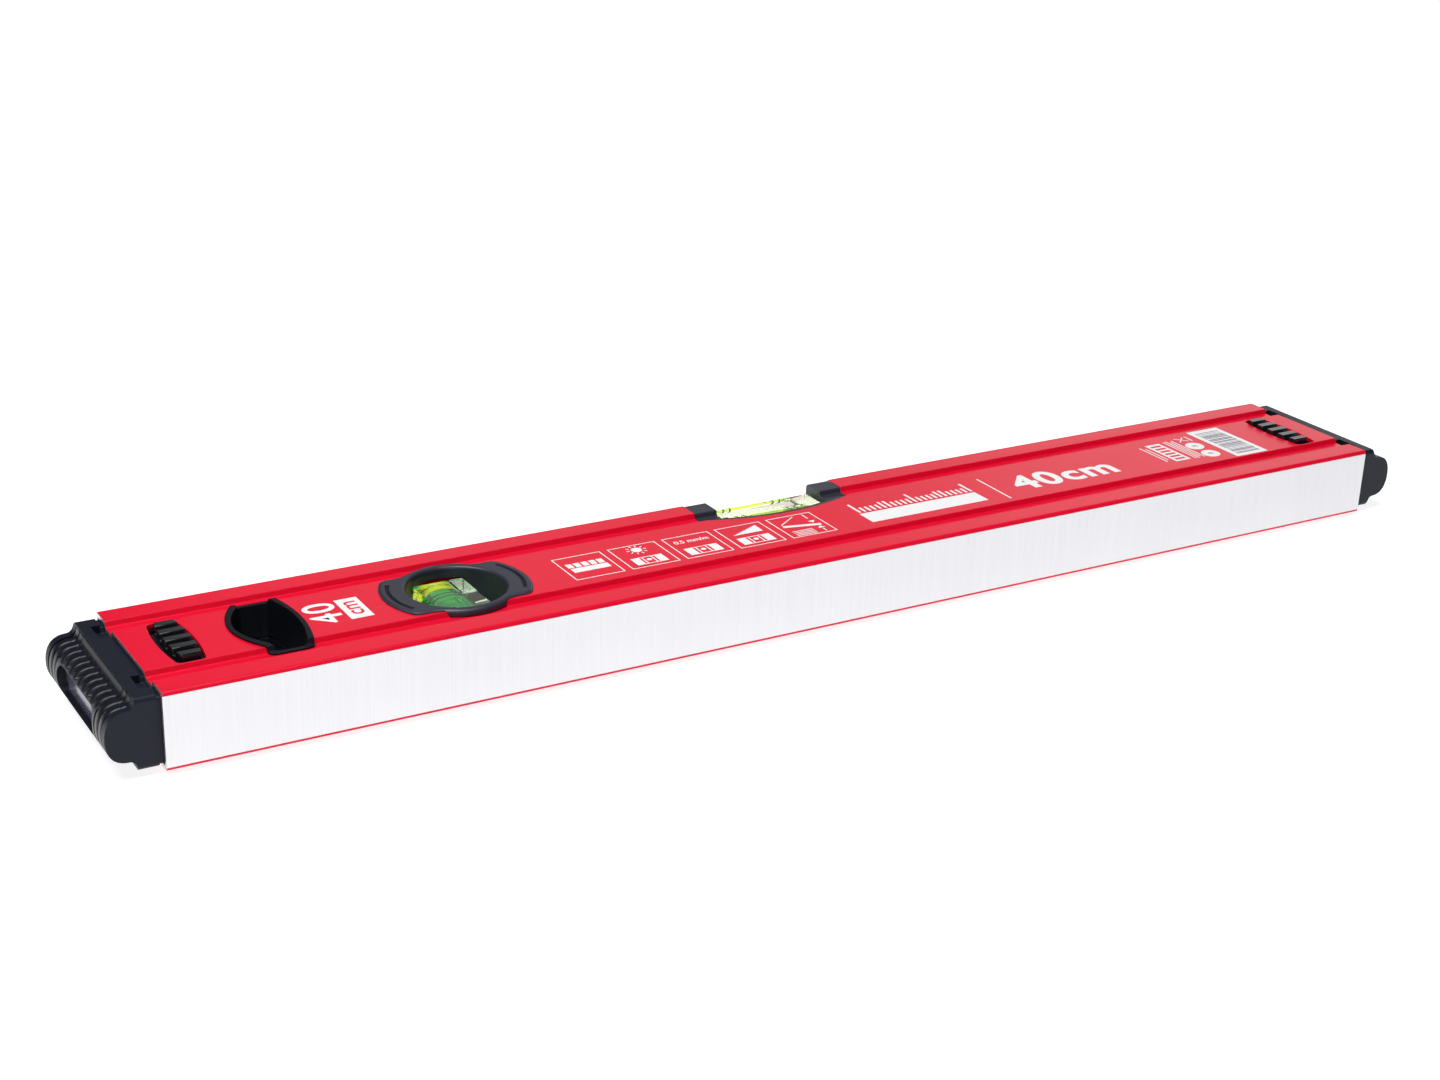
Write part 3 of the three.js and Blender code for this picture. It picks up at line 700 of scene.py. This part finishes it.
def cap_bumper(side, place):
    """The soft end, lofted across the cap through its ribs and rings, with the slot cut in."""
    half = PLATE_INNER - BUMPER_GAP
    stations = []
    for i in range(BUMPER_STEPS + 1):
        y = -half + 2 * half * i / BUMPER_STEPS
        depth = RIB_DEPTH * (1 - rib_height(y))
        outline = cap_end if abs(y) > SLOT_HALF + 1 else ribbed_end
        stations.append((y, outline(FLANGE_END - 1, depth)))
    body = lofted(f"{side}_ribbed_bumper", stations, "y")
    opening = rounded_box(SLOT_HALF, SLOT_HALF_HEIGHT, 3.2)
    slot = prism("slot", opening, "x", CORE_REACH - PAST, CAP_REACH + PAST)
    across = (-half - PAST, half + PAST)
    core = block("core", (0, CORE_REACH + 0.05), across, (-CORE_HALF - 0.05, CORE_HALF + 0.05))
    rim = block("rim", (0, FLANGE_END + 0.1), across, (-TALL, TALL))
    cut(body, core, rim, slot)
    placed(body, place, RUBBER, f"{side}_cap", [f"{side}_cap_bumper"])
    for face in body.data.polygons:
        face.use_smooth = True
    edge = body.modifiers.new("shade", "EDGE_SPLIT")
    edge.split_angle = math.radians(42)
    return body


PAD_RIBS, PAD_PITCH = 5, 4.6
PAD_TOP, PAD_FROM_SEAT = 11.1, 11.85
PAD_FOOT, PAD_CROWN = 1.75, 1.25


def latch_pad(side, face, place):
    outline = [(a - PAD_FROM_SEAT, b) for a, b in bulged(-3.3, -2.6, 3.3, 2.6, 10.6, 1.0)]
    body = prism(f"{side}_{face}_ribbed_pad", outline, "z", 8.5, 9.4)
    for i in range(PAD_RIBS):
        y = (i - (PAD_RIBS - 1) / 2) * PAD_PITCH
        rib = filleted([
            (y - PAD_FOOT, 8.7, 0.05), (y + PAD_FOOT, 8.7, 0.05),
            (y + PAD_CROWN, PAD_TOP, 0.3), (y - PAD_CROWN, PAD_TOP, 0.3),
        ], 6)
        bar = prism("bar", rib, "x", -PAD_FROM_SEAT - 4, 4 - PAD_FROM_SEAT)
        join(body, kept(bar, prism("trim", outline, "z", 8.6, PAD_TOP + PAST)))
    placed(body, place, PAD, f"{side}_{face}_latch", [f"{side}_{face}_latch_pad"])
    return softened(body, 0.18, 3)


def end_cap(side):
    low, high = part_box(f"{side}_cap_shell")
    outward = 1 if side == "right" else -1
    tip = high.x if side == "right" else low.x
    origin = Vector((tip - outward * CAP_REACH * MM, MIDDLE.y, MIDDLE.z))
    turn = Matrix.Rotation(0 if side == "right" else math.pi, 4, "Z")
    place = Matrix.Translation(origin) @ turn
    cap_shell(side, place)
    cap_bumper(side, place)
    for face in ("front", "back"):
        flip = Matrix.Rotation(0 if face == "front" else math.pi, 4, "X")
        latch_pad(side, face, place @ flip)
        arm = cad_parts[f"{side}_{face}_latch_arm"]
        arm.data.materials.clear()
        arm.data.materials.append(CAP.material)


# ---- plumb vial bezels ----------------------------------------------------------------------------

EYE_BORE, BARREL, SKIRT, LUG_RADIUS, LUG_HALF = 12.7, 13.8, 15.3, 19.6, 11.8
BEZEL_FACE = 10.6
BEZEL_SLOT = {"inner": 16.7, "outer": 17.7, "half_angle": 0.5, "depth": 0.36}
GAP = 0.08  # between the profile and what sits on it
GROOVE_FLOOR = HALF_THICK - GROOVE["depth"]


def mirrored_twice(quarter):
    """A whole outline from its quarter in +X, +Y, from the X axis round to the Y axis."""
    half = quarter + [(-x, y) for x, y in reversed(quarter)]
    return half + [(-x, -y) for x, y in half]


def bezel_outline(inset=0.0):
    radius, top, skirt = LUG_RADIUS - inset, LUG_HALF - inset, SKIRT - inset
    lug_angle = math.asin((LUG_HALF - 1.6) / LUG_RADIUS)
    ring_angle = 1.05
    lug = (radius * math.cos(lug_angle), radius * math.sin(lug_angle))
    ring = (skirt * math.cos(ring_angle), skirt * math.sin(ring_angle))
    quarter = (
        arc((0, 0), radius, 0.0005, lug_angle, 20)[:-1]
        + curve([lug, (lug[0] - 0.8, top), (lug[0] - 3, top)], 8)
        + curve([(lug[0] - 3, top), (ring[0] + 2.2, top - 0.2), ring], 10)
        + arc((0, 0), skirt, ring_angle, math.pi / 2 - 0.0005, 14)
    )
    return mirrored_twice(quarter)


def bezel(face):
    top = BEZEL_FACE
    shoulder = (
        (GROOVE_FLOOR, 0), (top - 0.9, 0.05), (top - 0.5, 0.2),
        (top - 0.2, 0.5), (top - 0.05, 0.85), (top, 1.2),
    )
    body = lofted(f"plumb_bezel_{face}_moulding", [(z, bezel_outline(inset)) for z, inset in shoulder], "z")
    cut(body, prism("profile", grown_profile(GAP), "x", -LUG_RADIUS - PAST, LUG_RADIUS + PAST))
    join(body, prism("tube", circle(BARREL), "z", 0.2, top - 0.05))
    flare = ((-1, 0), (top - 0.9, 0), (top - 0.45, 0.12), (top - 0.15, 0.4), (top, 0.75), (top + PAST, 0.8))
    eye = lofted("eye", [(z, circle(EYE_BORE + wider)) for z, wider in flare], "z")
    notch = block("notch", (-7.5, 7.5), (-14.4, 14.4), (0, 7.5))
    floor = top - BEZEL_SLOT["depth"]
    slots = []
    for middle in (0, math.pi):
        start, end = middle - BEZEL_SLOT["half_angle"], middle + BEZEL_SLOT["half_angle"]
        outer = arc((0, 0), BEZEL_SLOT["outer"], start, end, 24)
        inner = arc((0, 0), BEZEL_SLOT["inner"], end, start, 24)
        slots.append(prism("slot", outer + inner, "z", floor, top + PAST))
    cut(body, eye, notch, *slots)
    node = f"plumb_bezel_{face}"
    # The slot floors get the liner's darker plastic as painted shade in the recess.
    kinds = [
        int(abs(flat.center.z - floor) < 0.02 and abs(flat.normal.z) > 0.9)
        for flat in body.data.polygons
    ]
    placed(body, at(node, flip=face == "back"), [SLATE, DARK_LINER_AND_SLOT_SHADE], "root", [node])
    finished_by_face(body, kinds)
    return softened(body, 0.14, 3)


# ---- hang hole liners -----------------------------------------------------------------------------


LINER_PROUD = 0.55
LINER_TUBE_INSET, LINER_OPENING_INSET = 0.75, 1.3


def hang_liner(face):
    name = f"hang_hole_liner_{face}"
    top = HALF_THICK + LINER_PROUD
    body = prism(f"{name}_moulding", bulged(**HANG), "z", GROOVE_FLOOR, top)
    cut(body, prism("profile", grown_profile(GAP), "x", -12, 12))
    join(body, prism("tube", bulged(**HANG, inset=LINER_TUBE_INSET), "z", 0.2, top))
    kept(body, prism("skin", grown_profile(LINER_PROUD), "x", -12, 12))
    cut(body, prism("opening", bulged(**HANG, inset=LINER_OPENING_INSET), "z", -PAST, top + PAST))
    placed(body, hang_place(face), DARK_LINER_AND_SLOT_SHADE, "root", [name])
    return softened(body, 0.16, 3)


# ---- vials ----------------------------------------------------------------------------------------

BORE_RADIUS = 4.45
BORE_FROM_END, BORE_ROUND = 3.0, 0.35
BUBBLE_HALF_WIDTH, BUBBLE_HALF_HEIGHT, BUBBLE_ROUND = 3.1, 1.4, 2.2
PLUG_FROM_END, PLUG_LENGTH = 0.02, 2.6
LINE_LOW, LINE_HIGH, LINE_HALF = BORE_RADIUS + 0.02, BORE_RADIUS + 0.16, 0.26


def vial(name, long_axis):
    """A clear block with its filling, bubble, plug and lines, drawn along X about the block's middle."""
    spot = middle_of(f"{name}_vial_block")
    size = size_of(f"{name}_vial_block")
    half_length = max(size.x, size.y) / 2
    turn = Matrix.Rotation(0 if long_axis == "x" else -math.pi / 2, 4, "Z")
    place = Matrix.Translation(spot) @ turn
    half = size.z / 2
    shell = prism(f"{name}_clear_block", rounded_box(half, half, 0.6, 6), "x", -half_length, half_length)
    placed(shell, place, ACRYLIC, "root", [f"{name}_vial_block"])
    softened(shell, 0.3, 3)
    shell.visible_shadow = False

    fill_half = half_length - BORE_FROM_END
    filling = capsule(f"{name}_spirit_filling", fill_half, BORE_RADIUS, BORE_RADIUS, BORE_ROUND)
    spirit = LIQUID if name == "horizontal" else PLUMB_LIQUID
    placed(filling, place, spirit, "root", [f"{name}_vial_liquid"])
    filling.visible_shadow = False

    node = f"{name}_vial_bubble"
    bubble_half = max(size_of(node).x, size_of(node).y) / 2
    rise = middle_of(node).z - spot.z
    bubble = capsule(
        f"{name}_air_bubble", bubble_half, BUBBLE_HALF_WIDTH, BUBBLE_HALF_HEIGHT, BUBBLE_ROUND)
    raised = place @ Matrix.Translation((0, 0, rise))
    placed(bubble, raised, AIR, f"{name}_bubble", [node])
    bubble.visible_shadow = False

    start, end = -half_length + PLUG_FROM_END, -half_length + PLUG_LENGTH
    stopper = prism(f"{name}_bore_plug", circle(BORE_RADIUS - 0.1, 64), "x", start, end)
    plug_finish = PLUG if name == "horizontal" else PLUMB_PLUG
    placed(stopper, place, plug_finish, "root", [f"{name}_vial_plug"])
    softened(stopper, 0.25, 3)

    for i in range(4):
        node = f"{name}_line_ring_{i + 1}"
        where = middle_of(node)
        band = [
            (LINE_LOW, -LINE_HALF), (LINE_HIGH, -LINE_HALF),
            (LINE_HIGH, LINE_HALF), (LINE_LOW, LINE_HALF),
        ]
        ring = turned(f"{node}_band", band, "x", 64)
        placed(ring, Matrix.Translation(where) @ turn, LINE, "root", [node])
        softened(ring, 0.03, 1)


def capsule(name, half_length, half_width, half_height, end):
    """A long body of oval section along X, with ends rounded over a given length."""
    bm = bmesh.new()
    rings, round_steps, sides = [], 10, 48
    turns = [t * math.pi / 2 / round_steps for t in range(1, round_steps + 1)]
    stations = [(-half_length + end * (1 - math.cos(turn)), math.sin(turn)) for turn in turns]
    stations += [(-x, scale) for x, scale in reversed(stations)]
    for x, scale in stations:
        angles = [2 * math.pi * i / sides for i in range(sides)]
        rings.append([
            bm.verts.new((x, half_width * scale * math.cos(angle), half_height * scale * math.sin(angle)))
            for angle in angles
        ])
    for ring, following in zip(rings, rings[1:]):
        for i in range(sides):
            bm.faces.new((ring[i - 1], ring[i], following[i], following[i - 1]))
    for ring, x in ((rings[0], -half_length), (rings[-1], half_length)):
        tip = bm.verts.new((x, 0, 0))
        for i in range(sides):
            bm.faces.new((ring[i - 1], ring[i], tip))
    made = mesh_object(name, bm)
    for face in made.data.polygons:
        face.use_smooth = True
    return made


HOLDER_GAP, HOLDER_LIP = 0.15, 1.2
HOLDER_HALF_THICK, HOLDER_OPENING_HALF = 9.85, 17


def vial_holder():
    half, top, opening = SCOOP_HALF - HOLDER_GAP, HALF_WIDTH - 0.2, HOLDER_OPENING_HALF
    thick = HOLDER_HALF_THICK
    body = prism("vial_holder_moulding", scooped(half, HOLDER_GAP, top), "z", -thick, thick)
    section = grooved(top, thick, 1.2, fillet=0.5)
    kept(body, prism("section", section, "x", -half - PAST, half + PAST))
    join(body, block("floor", (-half, half), (8.4, 12.0), (-8.5, 8.5)))
    cut(body, prism("opening", scooped(opening, HOLDER_GAP + HOLDER_LIP, top + PAST), "z", -11, 11))
    cut(body, block("pocket", (-opening, opening), (9.6, top + PAST), (-7.5, 7.5)))
    placed(body, PROFILE_PLACE, SLATE, "root", ["horizontal_vial_holder"])
    return softened(body, 0.3, 3, clamp=True)


# ---- print on the front face ----------------------------------------------------------------------

FILM = 0.02  # millimetres between one film of ink and the next


class Print:
    """Collects flat shapes of one ink on the front face, in millimetres from the profile's middle."""

    def __init__(self, name, finish, layer):
        self.name, self.finish = name, finish
        self.bm = bmesh.new()
        self.height = FILM * (layer + 1)

    def shape(self, points):
        self.bm.faces.new([self.bm.verts.new((x, y, 0)) for x, y in points])

    def bar(self, x0, x1, y0, y1):
        self.shape([(x0, y0), (x1, y0), (x1, y1), (x0, y1)])

    def frame(self, x0, x1, y0, y1, line):
        self.bar(x0, x1, y0, y0 + line)
        self.bar(x0, x1, y1 - line, y1)
        self.bar(x0, x0 + line, y0 + line, y1 - line)
        self.bar(x1 - line, x1, y0 + line, y1 - line)

    def stroke(self, start, end, width):
        start, end = Vector(start), Vector(end)
        side = (end - start).normalized().orthogonal() * width / 2
        self.shape([start + side, start - side, end - side, end + side])

    def disc(self, x, y, radius, steps=40):
        self.shape([(x + a, y + b) for a, b in circle(radius, steps)])

    def words(self, text, x, y, turn=0.0, weight=0.02, spacing=1.0):
        """Plain letters that fill a box, given as its limits in X and in Y."""
        data = bpy.data.curves.new("words", "FONT")
        data.body, data.size, data.offset = text, 1.0, weight
        data.space_character = spacing
        holder = bpy.data.objects.new("words", data)
        bpy.context.scene.collection.objects.link(holder)
        mesh = bpy.data.meshes.new_from_object(holder.evaluated_get(bpy.context.evaluated_depsgraph_get()))
        mesh.transform(Matrix.Rotation(turn, 4, "Z"))
        low = [min(v.co[i] for v in mesh.vertices) for i in (0, 1)]
        high = [max(v.co[i] for v in mesh.vertices) for i in (0, 1)]
        scale = [(limits[1] - limits[0]) / (high[i] - low[i]) for i, limits in enumerate((x, y))]
        fit = Matrix.Diagonal((scale[0], scale[1], 1, 1)) @ Matrix.Translation((-low[0], -low[1], 0))
        mesh.transform(Matrix.Translation((x[0], y[0], 0)) @ fit)
        self.bm.from_mesh(mesh)
        bpy.data.objects.remove(holder)

    def done(self):
        """Each shape becomes a film with a thickness."""
        bm = self.bm
        for face in bm.faces:
            face.smooth = False
            if face.normal.z < 0:
                face.normal_flip()
        grown = bmesh.ops.extrude_face_region(bm, geom=list(bm.faces), use_keep_orig=True)
        lifted = [v for v in grown["geom"] if isinstance(v, bmesh.types.BMVert)]
        bmesh.ops.translate(bm, verts=lifted, vec=(0, 0, self.height))
        made = mesh_object(self.name, bm)
        place = Matrix.Translation(Vector((MIDDLE.x, MIDDLE.y, PROFILE_HIGH.z)))
        return placed(made, place, self.finish, "root")


def vial_sign(ink_film, x, y, width, height):
    """A small picture of a vial: a rounded tube with two lines and a bubble left out."""
    line, inner, outer = 0.35, width * 0.24, width * 0.5
    ink_film.bar(x - outer, x - inner, y, y + height)
    ink_film.bar(x + inner, x + outer, y, y + height)
    for low in (y, y + height - line):
        ink_film.bar(x - inner, x + inner, low, low + line)
    for offset in (-width * 0.15, width * 0.15):
        ink_film.bar(x + offset - 0.2, x + offset + 0.2, y + line, y + height - line)
    ink_film.disc(x, y + height * 0.55, height * 0.16)


def front_print():
    white = Print("front_print_white", WHITE_INK, 0)
    red = Print("front_print_red", RED_INK, 1)
    grey = Print("front_print_grey", GREY_INK, 1)

    # Size mark beside the hang hole, read from the side.
    quarter = math.pi / 2
    white.words("40", (-143.4, -135.2), (-6.4, 5.9), quarter, 0.012, 1.12)
    white.bar(-134.3, -128.4, -6.4, 5.9)
    red.words("cm", (-132.8, -129.6), (-4.2, 3.9), quarter, 0.012)

    # Five boxed pictograms.
    pitch, box_width, low, high = 16.35, 14.2, -9.1, 5.6
    for i in range(5):
        left = -74.5 + i * pitch
        white.frame(left, left + box_width, low, high, 0.32)
    x = -67.4
    for i in range(5):
        white.bar(x - 5.4 + i * 2.24, x - 3.7 + i * 2.24, -1.4, 1.2)
    white.bar(x - 5.2, x + 5.4, -4.6, -1.9)
    x += pitch
    white.disc(x, 2.2, 1.5)
    for i in range(10):
        angle = 2 * math.pi * i / 10
        way = Vector((math.cos(angle), math.sin(angle)))
        white.stroke(Vector((x, 2.2)) + way * 2.0, Vector((x, 2.2)) + way * 2.9, 0.35)
    vial_sign(white, x, -7.4, 9.2, 4.6)
    x += pitch
    white.words("0.5 mm/m", (x - 5.2, x + 5.2), (0.8, 2.8), 0, 0.02)
    vial_sign(white, x, -7.4, 10.0, 4.6)
    x += pitch
    white.shape([(x - 4.6, -0.6), (x + 4.8, -0.6), (x + 4.8, 3.8)])
    vial_sign(white, x, -7.4, 10.0, 4.6)
    x += pitch
    white.stroke((x - 5.4, -1.0), (x + 5.4, -3.4), 1.3)
    white.stroke((x - 5.2, 0.2), (x + 1.0, 4.4), 0.35)
    for tip, tail in ((-1.6, 4.6), (-4.2, -8.2)):
        white.stroke((x + 4.2, tail), (x + 4.2, (tip + tail) / 2), 0.4)
        turn = 1.5 if tail > tip else -1.5
        white.shape([(x + 3.1, tip + turn), (x + 5.3, tip + turn), (x + 4.2, tip)])
    for i in range(4):
        white.bar(x - 5.0, x + 1.4, -8.2 + i * 0.95, -7.8 + i * 0.95)

    # A plain scale over a bar, a thin divider, and the size in large figures.
    for i in range(23):
        tall = 6.4 if i % 11 == 0 else 4.6 if i % 11 in (5, 6) else 3.2
        x = 17.6 + i * 1.74
        white.bar(x, x + 0.75, -1.0, tall - 1.0)
    white.bar(17.0, 56.5, -8.6, -1.9)
    white.stroke((63.2, -10.4), (63.5, 6.4), 0.5)
    white.words("40cm", (70.5, 106.8), (-6.8, 3.6), 0, 0.03, 1.1)

    # Small print, without words: lines, two round signs and a bar pattern.
    draw = random.Random(7)
    white.bar(127.6, 133.2, -7.3, 7.3)
    for i in range(6):
        red.bar(128.5, 132.3, -6.2 + i * 2.2, -5.0 + i * 2.2)
    for x, reach in ((124.6, 6.4), (125.9, 5.2), (134.9, 7.6), (136.0, 7.8), (137.1, 6.8), (138.2, 7.6)):
        white.bar(x, x + 0.45, -reach, reach)
    for y in (-6.2, 0.9):
        white.disc(142.0, y, 2.9)
        grey.bar(140.9, 143.1, y - 0.5, y - 0.2)
        grey.bar(141.2, 142.8, y + 0.3, y + 0.6)
    white.stroke((140.2, 5.4), (143.6, 8.6), 0.4)
    white.stroke((140.2, 8.6), (143.6, 5.4), 0.4)
    white.bar(144.5, 145.0, 5.0, 9.0)
    white.bar(147.7, 160.0, -11.8, 11.4)
    y = -10.0
    while y < 9.6:
        thick = draw.choice((0.25, 0.4, 0.6))
        grey.bar(149.4, 158.4, y, y + thick)
        y += thick + draw.choice((0.3, 0.45, 0.7))
    for film in (white, red, grey):
        film.done()


# ---- build ----------------------------------------------------------------------------------------

profile()
for side in ("left", "right"):
    end_cap(side)
for face in ("front", "back"):
    bezel(face)
    hang_liner(face)
vial_holder()
vial("horizontal", "x")
vial("plumb", "y")
front_print()

# ---- studio ---------------------------------------------------------------------------------------


FLOOR_GLOW = 0.86
# The strip under the level's left part, in metres, where the floor's glow drops almost to nothing: a painted
# shadow under the level.
SHADOW_STRIP_LEFT, SHADOW_STRIP_RIGHT, SHADOW_STRIP_HALF_WIDTH = 0.19, -0.08, 0.0135


def pale_floor():
    floor = prism("pale_floor", circle(6000, 96), "z", -20, 0)
    floor.data.transform(Matrix.Scale(MM, 4))
    surface = Finish("pale_floor_paper", Roughness=0.9)
    tooth = surface.grain(300, 3)
    surface.feed(Base_Color=surface.blend(tooth, colour(0.40, 0.40, 0.40), colour(0.44, 0.44, 0.44)))
    surface.bumped(tooth, 0.00004, 0.2)
    x, y = surface.floor_axes()
    # Painted shadow: outside the strip the floor glows white, inside it glows only 0.03.
    beside = ((x * x > SHADOW_STRIP_LEFT**2) + (x > SHADOW_STRIP_RIGHT) + (y * y > SHADOW_STRIP_HALF_WIDTH**2)).held()
    surface.feed(Emission_Color=surface.blend(beside, colour(0.03, 0.03, 0.03), colour(1, 1, 1)))
    surface.shader.inputs["Emission Strength"].default_value = FLOOR_GLOW
    floor.data.materials.append(surface.material)


def soft_light(name, location, target, size, power):
    data = bpy.data.lights.new(name, "AREA")
    data.shape, data.size, data.energy = "DISK", size, power
    light = bpy.data.objects.new(name, data)
    light.location = location
    light.rotation_euler = (Vector(target) - Vector(location)).to_track_quat("-Z", "Y").to_euler()
    bpy.context.scene.collection.objects.link(light)


def pale_room():
    """A dim room with a bright band along the bottom of its walls."""
    room = bpy.data.worlds.new("pale_room")
    room.use_nodes = True
    nodes, links = room.node_tree.nodes, room.node_tree.links
    background = nodes["Background"]
    heading = nodes.new("ShaderNodeTexCoord")
    parts = nodes.new("ShaderNodeSeparateXYZ")
    ramp = nodes.new("ShaderNodeMapRange")
    for key, value in (("From Min", 0.08), ("From Max", 0.30), ("To Min", 1.0), ("To Max", 0.13)):
        ramp.inputs[key].default_value = value
    links.new(heading.outputs["Generated"], parts.inputs[0])
    links.new(parts.outputs["Z"], ramp.inputs["Value"])
    links.new(ramp.outputs["Result"], background.inputs["Strength"])
    return room


pale_floor()
soft_light("overhead_softbox", (-0.38, -0.12, 1.25), (-0.1, 0, 0), 1.0, 21.5)
soft_light("front_softbox", (-0.5, -1.3, 0.45), (0, 0, 0), 1.0, 2.5)
soft_light("back_right_softbox", (1.66, 1.30, 0.64), (0, 0, 0), 1.1, 3.6)
soft_light("back_softbox", (0.86, 1.85, 0.82), (0, 0, 0), 1.0, 1.5)

bpy.context.scene.world = pale_room()
bpy.context.scene.view_settings.view_transform = "Standard"
